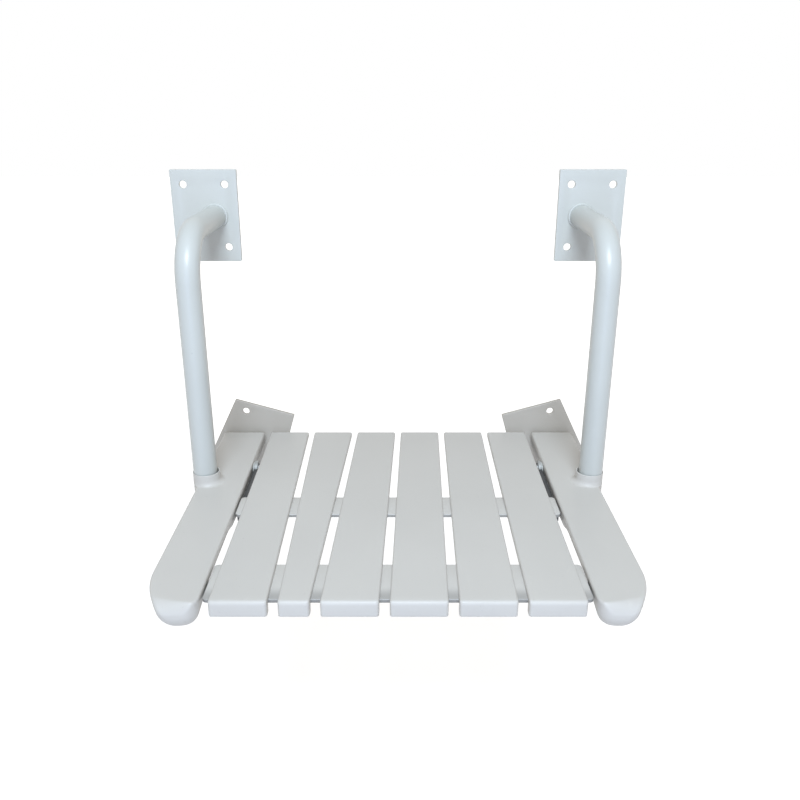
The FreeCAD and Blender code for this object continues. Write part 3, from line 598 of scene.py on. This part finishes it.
def nose_side(ahead, sizes):
    """Half width of a rail on its outer side, a distance back from its front.

    A bow x = xc + sqrt(R2 - (s - a)2) that starts tangent to the side, and a corner circle of
    radius r tangent inside it: its centre lies sqrt((R - r)2 - (s - r)2) out from the bow's.
    """
    bow, tip, sweep = sizes.nose_bow, sizes.nose_tip, 58.6 * MM
    bow_x = RAIL_HALF - bow
    if ahead < sweep - (sweep - tip) * bow / (bow - tip):
        tip_x = bow_x + math.sqrt((bow - tip) ** 2 - (sweep - tip) ** 2)
        return tip_x + math.sqrt(max(tip ** 2 - (tip - ahead) ** 2, 0))
    return bow_x + math.sqrt(bow ** 2 - max(sweep - ahead, 0) ** 2)


def nose_fall(ahead, across, depth):
    """How far the nose's top has fallen, a distance back from its front and a share across.

    The fall is D (1 - (1 - (1 - a/L)^p)^(1/p)). L grows outwards, so the face leans back there.
    """
    length, power = (10.5 + 8.0 * across + 3.0 * across ** 2) * MM, 1.55
    share = np.clip(1 - ahead / length, 0, 1)
    return depth * (1 - (1 - share ** power) ** (1 / power))


def arm_bulge(away):
    """How far a rail's outer side swells, a distance along it from the arm.

    It reaches the collar's outline times f = exp(-(a / 11.5)^4), plus 1.2 exp(-(a / 16)^4) (1 - f),
    in millimetres.
    """
    reach = ARM_X - RAIL_X + math.sqrt(max(COLLAR ** 2 - away ** 2, 0)) - RAIL_HALF
    near = math.exp(-((away / (11.5 * MM)) ** 4))
    return max(reach, 0) * near + 1.2 * MM * math.exp(-((away / (16 * MM)) ** 4)) * (1 - near)


def rail_stations(front, back, under, end_round, steps):
    """Places along a rail, close together round its nose and its arm, and a hair's breadth aside.

    At a step in its hollow a place comes twice, a hair before it and a hair after.
    """
    nose_end, arm_zone, hair = front + 60 * MM, 26 * MM, 1e-9
    nose = front + under * (1 - np.cos(quarter(26)))
    runs = [nose, np.linspace(nose[-1], nose_end, 14)[1:],
            np.linspace(nose_end, ARM_Y - arm_zone, 12)[1:],
            np.linspace(ARM_Y - arm_zone, ARM_Y + arm_zone, 79)[1:],
            np.linspace(ARM_Y + arm_zone, back - end_round, 8)[1:],
            back - end_round * (1 - np.sin(quarter(5)))[1:]]
    stations = [(place, place - hair) for place in np.concatenate(runs)]
    return sorted(stations + [(step, step + aside) for step in steps for aside in (-hair, hair)])


def rail_rings(side, sizes):
    """Rail: flat top over a half round, drawn in to a bull nose, swollen outwards round the arm.

    Below its flank each side of a section is |x/a|^n + |z/b|^n = 1 about its keel. On the inner
    side n grows from 2 to 3.2 beside the hinge and at the nose. On the outer side it is 2 along the
    rail and up to 7 round the arm, where a grows to the collar's outline. Near the nose the keel
    moves inwards by k cos2(pi a / 2 l) at a distance a from the front.
    """
    end_round, nose_keel, keel_length, nose_length = 1.5 * MM, 5.0 * MM, 80 * MM, 60 * MM
    hinge_front, hinge_blend, full_bulge, roof = -245 * MM, 20 * MM, 8 * MM, SEAT_TOP - 5 * MM
    node_low, node_high = box_of("right_side_rail")
    front, back, keel_z = node_low[1], node_high[1], node_low[2]
    bar_low, bar_high = box_of("right_side_bar")
    channels = (bar_high[0] + ROOM - RAIL_X, RAIL_X - bar_low[0] + ROOM)
    channel_front = box_of("right_bar_plug")[0][1] - ROOM
    pocket = (FOOT_LOW[1] - ROOM, FOOT_HIGH[1] + ROOM)
    rings = []
    for place, spot in rail_stations(front, back, sizes.nose_under, end_round,
                                     (channel_front, *pocket)):
        ahead = place - front
        end_drop = round_drop(back - place, end_round)
        inner = RAIL_HALF - round_drop(ahead, sizes.nose_plan) - end_drop
        outer = nose_side(ahead, sizes) - end_drop
        top, bottom = SEAT_TOP - end_drop, keel_z + round_drop(ahead, sizes.nose_under) + end_drop
        bulge = arm_bulge(abs(place - ARM_Y))
        keel = -nose_keel * faded(ahead, keel_length)
        beside_hinge = min(max((place - hinge_front) / hinge_blend, 0), 1)
        powers = (2 + 5 * min(bulge / full_bulge, 1),
                  2 + 1.2 * max(beside_hinge, faded(ahead, nose_length)))
        ring = rail_section(side, place, keel, (outer + bulge, inner), powers, top, bottom,
                            channels, roof if spot > channel_front else None)
        if pocket[0] < spot < pocket[1]:
            ring[:, 2] = np.maximum(ring[:, 2], FOOT_HIGH[2] + ROOM)
        across = np.clip((side * ring[:, 0] - RAIL_X) / RAIL_HALF, -1, 1)
        fall = nose_fall(ahead, across, sizes.nose_top)
        ring[:, 2] -= fall * (ring[:, 2] - bottom) / (top - bottom)
        rings.append(ring)
    return np.array(rings), True


def rail_section(side, place, keel, widths, powers, top, bottom, channels, roof):
    """Closed outline of the rail at one place, from the top's middle outwards, down and under."""
    flank, edge, widest_channel, steps = 1.5 * MM, 2.5 * MM, 0.62, 5
    halves = []
    for sign, wide, shape, channel in zip((1, -1), widths, powers, channels):
        wide, channel = wide - sign * keel, channel - sign * keel
        radius, curve = min(edge, (top - bottom) / 3, wide / 2), quarter(6)[1:]
        shoulder = top - max(radius, min(flank, (top - bottom) / 4))
        limit = min(channel, widest_channel * wide)
        sweep = np.linspace(0, math.acos(min((limit / wide) ** (shape / 2), 1)), 25)
        round_x = wide * np.cos(sweep) ** (2 / shape)
        round_z = shoulder - (shoulder - bottom) * np.sin(sweep) ** (2 / shape)
        under_x = np.linspace(round_x[-1], 0, steps)
        if roof is None:
            bow = 1 - (under_x / wide) ** shape
            under_z = shoulder - (shoulder - bottom) * bow ** (1 / shape)
        else:
            under_z = np.full(steps, roof)
        x = [np.linspace(0, wide - radius, steps), wide - radius + radius * np.sin(curve), round_x,
             under_x]
        z = [np.full(steps, top), top - radius + radius * np.cos(curve), round_z, under_z]
        halves.append(np.stack([sign * np.concatenate(x), np.concatenate(z)], axis=1))
    x, z = np.concatenate([halves[0], halves[1][::-1]]).T
    return np.stack([side * (x + RAIL_X + keel), np.full(len(x), place), z], axis=1)


def collar_rings(side):
    """Collar over the rail's top, round the arm. It hugs the arm outside and flares inside.

    With w = (1 - cos t) / 2, t the angle from outwards, its radius at height h is R + (b + f) w,
    where f = q - sqrt(q2 - (q - h)2), and the hole's is r + c w^2.
    """
    wider, room, rise, flare = 2.6 * MM, 1.6 * MM, 13 * MM, 6 * MM
    sunk, hole_foot, curve, steps = -1 * MM, 5 * MM, quarter(6), 96
    around = np.linspace(0, 2 * math.pi, steps, endpoint=False)
    weight = (1 - np.cos(around)) / 2
    outside, hole = COLLAR + wider * weight, ARM_R + ROOM + room * weight ** 2
    lip = 0.45 * (outside - hole)
    levels = [(np.full(steps, sunk), outside + flare * weight)]
    levels += [(np.full(steps, height), outside + round_drop(height, flare) * weight)
               for height in np.linspace(0, flare, 15)]
    levels += [(rise - lip * (1 - math.sin(a)), outside - lip * (1 - math.cos(a))) for a in curve]
    levels += [(rise - lip * (1 - math.sin(a)), hole + lip * (1 - math.cos(a)))
               for a in curve[::-1]]
    levels += [(np.full(steps, hole_foot), hole), (np.full(steps, sunk), hole)]
    rings = [np.stack([side * (ARM_X + reach * np.cos(around)), ARM_Y + reach * np.sin(around),
                       SEAT_TOP + height], axis=1) for height, reach in levels]
    return np.array(rings + rings[:1]), False


def arm_rings(side):
    """Arm: a circle carried out from the plate, round a quarter bend and down.

    At an angle t into the bend it is pressed flatter: its half height is R (1 - p) and its half
    width R (1 + 0.4 p), where p = 0.035 sin2(2t).
    """
    reach, bend, turn = -(ARM_LOW[1] + ARM_R), 50 * MM, quarter(49)
    out = np.linspace(ARM_HIGH[1], bend - reach, 5)[:-1]
    down = np.linspace(-bend, ARM_LOW[2], 9)[1:]
    y = np.concatenate([out, bend - reach - bend * np.sin(turn), np.full(8, -reach)])[:, None]
    z = np.concatenate([np.zeros(4), bend * np.cos(turn) - bend, down])[:, None]
    turn = np.concatenate([np.zeros(4), turn, np.full(8, math.pi / 2)])[:, None]
    press = 0.035 * np.sin(2 * turn) ** 2
    around = np.linspace(0, 2 * math.pi, 72, endpoint=False)
    wide, deep = ARM_R * (1 + 0.4 * press) * np.cos(around), ARM_R * (1 - press) * np.sin(around)
    rings = [side * ARM_X + wide, y - deep * np.sin(turn), z + deep * np.cos(turn)]
    return np.stack(rings, axis=2), True


def rounded_outline(corners, radius, drawn, steps=8):
    """Convex outline, its corners in order to the left, each a circle that touches both sides."""
    points = []
    for number, corner in enumerate(corners):
        before = corner - corners[number - 1]
        after = corners[(number + 1) % len(corners)] - corner
        normals = np.array([(-way[1], way[0]) for way in (before, after)])
        normals /= np.linalg.norm(normals, axis=1)[:, None]
        centre = corner + np.linalg.solve(normals, [radius] * 2)
        first, last = (math.atan2(-normal[1], -normal[0]) for normal in normals)
        turn = np.linspace(first, first + (last - first) % (2 * math.pi), steps)
        arc = max(radius - drawn, 0.05 * MM)
        points.append(centre + arc * np.stack([np.cos(turn), np.sin(turn)], axis=1))
    return np.concatenate(points)


def flat_mesh(name, outline, holes, levels, place):
    """Flat piece with holes, its edges rolled over.

    outline(drawn) gives the outline drawn in, holes are centres and radii, levels are pairs of
    level and amount drawn in, and place(points, level) gives the points in the room.
    """
    around = np.linspace(0, 2 * math.pi, 40, endpoint=False)
    circle = np.stack([np.cos(around), np.sin(around)], axis=1)
    grids = [[place(outline(drawn), level) for level, drawn in levels]]
    for centre, radius in holes:
        grids.append([place(centre + circle * (radius + drawn), level) for level, drawn in levels])
    mesh, work, indices = start_mesh(name, [(np.array(rings), False) for rings in grids])
    work.verts.ensure_lookup_table()
    for end in (0, -1):
        edges = []
        for index in indices:
            loop = [work.verts[number] for number in index[end].tolist()]
            edges += [work.edges.get([a, b]) for a, b in zip(loop, loop[1:] + loop[:1])]
        bmesh.ops.triangle_fill(work, use_beauty=True, use_dissolve=False, edges=edges)
    finish_mesh(work, mesh, 30)
    return mesh


def rolled(edge, near, far):
    """Levels from near to far: a quarter round on the near face, a slight bevel on the far one."""
    step, slight = 1 if far > near else -1, 0.05 * MM
    levels = [(near + step * edge * (1 - math.cos(a)), edge * (1 - math.sin(a)))
              for a in quarter(6)]
    return levels + [(far - step * slight, 0.0), (far, slight)]


def bar_rings(low, high, corner, edge):
    """Flat bar along X: a rounded section whose depth draws in by a quarter circle at each end."""
    reach = corner * (1 - np.cos(quarter(10)))
    middle, half = (low + high) / 2, (high - low) / 2
    rings = []
    for place in np.concatenate([low[0] + reach, high[0] - reach[::-1]]):
        away = min(place - low[0], high[0] - place)
        section = crossed_section(half[1] - round_drop(away, corner),
                                  half[2] - 0.6 * round_drop(away, edge), edge, 4)
        rings.append(np.insert(section + middle[1:], 0, place, axis=1))
    return np.array(rings), True


def strap_outline(low, drawn):
    """Strap from the side, as (y, z): the eye's circle, and the flat from it to the front."""
    radius, front_round, curve = 9.5 * MM - drawn, 4 * MM, quarter(9)[::-1]
    top, foot, front = SEAT_TOP - 8 * MM - drawn, low[2] + 0.5 * MM + drawn, low[1] + drawn
    leave = math.pi - math.asin((top - PIVOT[2]) / radius)
    meet = math.pi + math.asin((PIVOT[2] - foot) / radius)
    turn = np.linspace(meet, leave + 2 * math.pi, 60)
    eye = PIVOT[1:] + radius * np.stack([np.cos(turn), np.sin(turn)], axis=1)
    corner = np.stack([front + front_round * (1 - np.sin(curve)),
                       foot + front_round * (1 - np.cos(curve))], axis=1)
    return np.concatenate([eye, [(front, top)], corner])


# Operators, one for each piece or group of like pieces

class SEAT_OT_finishes(bpy.types.Operator):
    """Mix the seat's paints, plastics and metals"""
    bl_idname = "seat.finishes"
    bl_label = "Finishes"

    def execute(self, context):
        FINISHES.update(make_finishes())
        return {"FINISHED"}


class SEAT_OT_slats(bpy.types.Operator):
    """Mould the six slats of the folding panel"""
    bl_idname = "seat.slats"
    bl_label = "Slats"

    def execute(self, context):
        sizes = context.scene.seat_sizes
        for number in range(6):
            node = "slat_%d" % (number + 1)
            rings = slat_rings(number, sizes.slat_edge, sizes.slat_front)
            skin("moulded_" + node, [rings], PANEL_BODY, "seat", node)
        return {"FINISHED"}


class SEAT_OT_rails(bpy.types.Operator):
    """Mould the two outer rails, with their noses and the collars round the arms"""
    bl_idname = "seat.rails"
    bl_label = "Outer rails"

    def execute(self, context):
        for label, side in SIDES:
            parts = [rail_rings(side, context.scene.seat_sizes), collar_rings(side)]
            skin("moulded_%s_rail" % label, parts, FRAME_BODY, "seat",
                 label + "_side_rail", 30)
        return {"FINISHED"}


class SEAT_OT_arms(bpy.types.Operator):
    """Bend the two arms and lay the weld beads at their roots"""
    bl_idname = "seat.arms"
    bl_label = "Arms"

    def execute(self, context):
        bead, ripples = context.scene.seat_sizes.weld_bead, 44
        plate_face = box_of("right_upper_plate")[0][1]
        around = np.linspace(0, 2 * math.pi, 6 * ripples, endpoint=False)
        circle = np.stack([np.cos(around), np.zeros(6 * ripples), np.sin(around)], axis=1)
        for label, side in SIDES:
            skin("bent_%s_arm" % label, [arm_rings(side)], FRAME_BODY, "arms",
                 label + "_arm_tube")
            path = circle * (ARM_R + 0.35 * bead) + (side * ARM_X, plate_face - 0.25 * bead, 0)
            skin("%s_root_bead" % label, [bead_rings(path, circle, bead, ripples)], FRAME_BODY,
                 "arms", label + "_root_weld")
        return {"FINISHED"}


class SEAT_OT_plates(bpy.types.Operator):
    """Cut the upper and lower wall plates"""
    bl_idname = "seat.plates"
    bl_label = "Wall plates"

    def execute(self, context):
        low, high = box_of("right_upper_plate")
        upper_x, _, upper_z = (low + high) / 2
        mounts = {mount["name"]: mount["pos_m"] for mount in frame["record"]["mounts"]}
        lower_x, _, lower_z = mounts["lower_right_holes"]
        for label, side in SIDES:
            corners = [(-40, -55), (40, -55), (40, 55), (-40, 55)]
            holes = [(across * 25, up * 37.5) for across in (-1, 1) for up in (-1, 1)]
            self.cut_plate("%s_upper_wall_plate" % label, corners, holes,
                           (side * upper_x, upper_z), 0, "upper", "frame_paint",
                           label + "_upper_plate")
            corners = [(-40, -45), (56, -45), (40, 45), (-40, 45)]
            if side < 0:
                corners = [(-across, up) for across, up in reversed(corners)]
            holes = [(side * way * 23, way * 33) for way in (-1, 1)]
            self.cut_plate("%s_lower_wall_plate" % label, corners, holes,
                           (side * lower_x, lower_z), side * math.radians(16), "lower",
                           "lower_plate_paint", label + "_lower_plate")
        return {"FINISHED"}

    @staticmethod
    def cut_plate(name, corners, hole_centres, centre, tilt, finish, slot, node):
        """Plate turned about its centre. Its corners and holes are in millimetres from there."""
        thick, hole_radius, corner_radius = 5 * MM, 4.5 * MM, 1.5 * MM
        edge = bpy.context.scene.seat_sizes.plate_edge
        corners = np.array(corners) * MM
        holes = [(np.array(place) * MM, hole_radius) for place in hole_centres]
        cosine, sine = math.cos(tilt), math.sin(tilt)

        def place(points, level):
            a, b = points.T
            x, z = centre[0] + a * cosine - b * sine, centre[1] + a * sine + b * cosine
            return np.stack([x, np.full(len(x), level), z], axis=1)

        mesh = flat_mesh(name, lambda drawn: rounded_outline(corners, corner_radius, drawn), holes,
                         rolled(edge, -thick, 0), place)
        show(mesh, FRAME_BODY, finish, node)


class SEAT_OT_steelwork(bpy.types.Operator):
    """Finish the bars, straps, tabs and hinge parts that the seat hides"""
    bl_idname = "seat.steelwork"
    bl_label = "Bars and hinge"

    def execute(self, context):
        blocks = [  # part, long axis, corner and edge in millimetres, finish, slot
            ("side_bar", 1, 2.5, 0.3, "arms", "frame_paint"),
            ("bar_plug", 1, 2.5, 1.0, "rubber", "bar_plug"),
            ("stop_tab", 0, 0.8, 0.6, "arms", "frame_paint"),
            ("stop_pad", 0, 0.5, 0.5, "rubber", "stop_rubber"),
        ]
        kept = [("arm_foot", "arms"), ("hinge_boss", "arms"), ("hinge_spacer", "spacer"),
                ("hinge_bush", "bush")]
        for label, side in SIDES:
            for part, axis, corner, edge, finish, slot in blocks:
                node = "%s_%s" % (label, part)
                low, high = box_of(node)
                if part == "bar_plug":  # its stem is inside the side bar
                    high[1] = box_of(label + "_side_bar")[0][1] + 0.2 * MM
                rings = block_rings(low, high, axis, corner * MM, edge * MM)
                skin(node + "_finished", [rings], FRAME_BODY, finish, node)
        for which in ("rear", "front"):
            rings = bar_rings(*box_of(which + "_cross_bar"), 4 * MM, 0.8 * MM)
            skin(which + "_bar_painted", [rings], PANEL_BODY, "panel",
                 which + "_cross_bar")
        for label, side in SIDES:
            for part, finish in kept:
                dress("%s_%s" % (label, part), finish)
            self.pin(label, side)
            self.strap(label, side)
        return {"FINISHED"}

    @staticmethod
    def strap(label, side):
        """Hinge strap: a flat with an eye, its edges rolled over on both faces."""
        low, high = box_of("right_hinge_strap")
        bore = [(PIVOT[1:], 5.55 * MM)]
        levels = rolled(0.4 * MM, low[0], (low[0] + high[0]) / 2)[:-2]
        levels += [(low[0] + high[0] - level, drawn) for level, drawn in levels[::-1]]
        mesh = flat_mesh("%s_strap_flat" % label, lambda drawn: strap_outline(low, drawn), bore,
                         levels, lambda points, level: np.insert(points, 0, side * level, axis=1))
        show(mesh, PANEL_BODY, "strap", label + "_hinge_strap")

    @staticmethod
    def pin(label, side):
        """Hinge pin: a straight shank and a head with a low dome."""
        low, high = box_of("right_hinge_pin")
        head, neck, shank = low[0], low[0] + 2.4 * MM, 4 * MM
        rim, dome_rim, dome, centre, bevel = 6.5 * MM, 6.4 * MM, 1.2 * MM, 0.001 * MM, 0.3 * MM
        profile = [(head + dome * (1 - math.sin(a)), dome_rim * math.cos(a) * 0.999 + centre)
                   for a in quarter(7)[::-1]]
        profile += [(head + 1.4 * MM, rim), (neck - bevel, rim), (neck, rim - bevel),
                    (neck, shank), (high[0], shank)]
        rings = turned_rings(PIVOT, profile)
        rings[:, :, 0] *= side
        skin("%s_turned_pin" % label, [(rings, True)], FRAME_BODY, "steel",
             label + "_hinge_pin")


class SEAT_OT_screws(bpy.types.Operator):
    """Finish the pan head screws under the slats and rails"""
    bl_idname = "seat.screws"
    bl_label = "Screws"

    def execute(self, context):
        for place in ("rear_slat", "front_slat", "left_rail", "right_rail"):
            dress(place + "_screws", "screw")
        return {"FINISHED"}


class SEAT_OT_stage(bpy.types.Operator):
    """Set the floor, the lights, the white surroundings and the camera"""
    bl_idname = "seat.stage"
    bl_label = "Stage"

    def execute(self, context):
        make_floor()
        make_surroundings(context.scene)
        make_lamp("cool_slant", place=(0.0, -1.45, 1.3), target=(0, -0.1, -0.2), size=0.9,
                  energy=34.3, tint=(0.749, 0.878, 1.0))
        make_lamp("cool_front", place=(0.0, -2.4, -0.1), target=(0, 0, -0.15), size=1.4,
                  energy=10.9, tint=(0.52, 0.645, 1.0))
        make_camera(context.scene)
        return {"FINISHED"}


def dress(node, finish):
    """Give a CAD node one of the seat's materials."""
    NODES[node].data.materials.clear()
    NODES[node].data.materials.append(FINISHES[finish])


def make_floor():
    """Flat floor a seat's height below. Where it is seen it turns white away from the shadow."""
    extent, height = 9.0, SEAT_TOP - 0.46
    shadow_reach, white_from, shadow_glow = 0.8, 2.2, 0.68
    mesh = bpy.data.meshes.new("pale_floor")
    corners = np.array([(-1, -1), (1, -1), (1, 1), (-1, 1)]) * extent
    mesh.from_pydata([(x, y, height) for x, y in corners], [], [(0, 1, 2, 3)])
    floor = bpy.data.objects.new("pale_floor", mesh)
    bpy.context.scene.collection.objects.link(floor)
    finish = Finish("pale_floor", Base_Color=(0.80, 0.80, 0.80, 1), Emission_Strength=1.0)
    away = finish.node("ShaderNodeVectorMath", {"operation": "LENGTH"}, {0: finish.place}, "Value")
    glow = finish.eased(away, shadow_reach, white_from, low=shadow_glow)
    finish.feed("Emission Color", finish.sees_background() * glow)
    finish.feed("Roughness", 0.86 + 0.08 * finish.noise(3.0))
    mesh.materials.append(finish.material)


def make_surroundings(scene):
    """World that lights softly and a little warm, and looks white where it is seen."""
    light_level, light_tint, white = 0.365, (1, 0.93, 0.84), (1, 1, 1)
    world = bpy.data.worlds.new("surroundings")
    world.use_nodes = True
    graph = Graph(world.node_tree, world.node_tree.nodes["Background"])
    seen = graph.sees_background()
    inputs = {"Value": seen, "To Min": light_level, "To Max": 1.0}
    graph.feed("Strength", graph.node("ShaderNodeMapRange", None, inputs))
    graph.feed("Color", graph.mix(seen, light_tint, white))
    scene.world = world
    scene.view_settings.view_transform = "Standard"


def make_lamp(name, place, target, size, energy, tint):
    lamp = bpy.data.lights.new(name, "AREA")
    lamp.shape = "DISK"
    lamp.size = size
    lamp.energy = energy
    lamp.color = tint
    item = bpy.data.objects.new(name, lamp)
    item.location = place
    item.rotation_euler = (Vector(target) - Vector(place)).to_track_quat("-Z", "Y").to_euler()
    bpy.context.scene.collection.objects.link(item)


def make_camera(scene):
    """Camera a metre from the wall, which looks down at the seat by 20.5 degrees."""
    picture, focal, aside, down = 800, 803, 2, 20.5  # the first three in pixels
    data = bpy.data.cameras.new("seat_camera")
    data.sensor_fit = "HORIZONTAL"
    data.sensor_width = 36.0
    data.lens = 36.0 * focal / picture
    data.shift_x = aside / picture
    data.clip_end = 50
    data.dof.use_dof = False
    item = bpy.data.objects.new("seat_camera", data)
    item.location = (0, -1.000, 0.133)
    item.rotation_euler = (math.radians(90 - down), 0, 0)
    scene.collection.objects.link(item)
    scene.camera = item


class SEAT_PT_panel(bpy.types.Panel):
    """Lists the seat's sizes, colours and pieces"""
    bl_idname = "SEAT_PT_panel"
    bl_label = "Wall Seat"
    bl_space_type = "VIEW_3D"
    bl_region_type = "UI"
    bl_category = "Wall Seat"

    def draw(self, context):
        for group in (context.scene.seat_sizes, context.scene.seat_colours):
            for key in group.__annotations__:
                self.layout.prop(group, key)
        for operator in OPERATORS:
            self.layout.operator(operator.bl_idname)


OPERATORS = [
    SEAT_OT_finishes, SEAT_OT_slats, SEAT_OT_rails, SEAT_OT_arms, SEAT_OT_plates, SEAT_OT_steelwork,
    SEAT_OT_screws, SEAT_OT_stage,
]
CLASSES = [SeatSizes, SeatColours, *OPERATORS, SEAT_PT_panel]


def register():
    for item in CLASSES:
        bpy.utils.register_class(item)
    bpy.types.Scene.seat_sizes = bpy.props.PointerProperty(type=SeatSizes)
    bpy.types.Scene.seat_colours = bpy.props.PointerProperty(type=SeatColours)


def unregister():
    del bpy.types.Scene.seat_colours
    del bpy.types.Scene.seat_sizes
    for item in reversed(CLASSES):
        bpy.utils.unregister_class(item)


def main():
    register()
    bpy.ops.seat.finishes()
    bpy.ops.seat.slats()
    bpy.ops.seat.rails()
    bpy.ops.seat.arms()
    bpy.ops.seat.plates()
    bpy.ops.seat.steelwork()
    bpy.ops.seat.screws()
    bpy.ops.seat.stage()


if __name__ == "__main__":
    main()
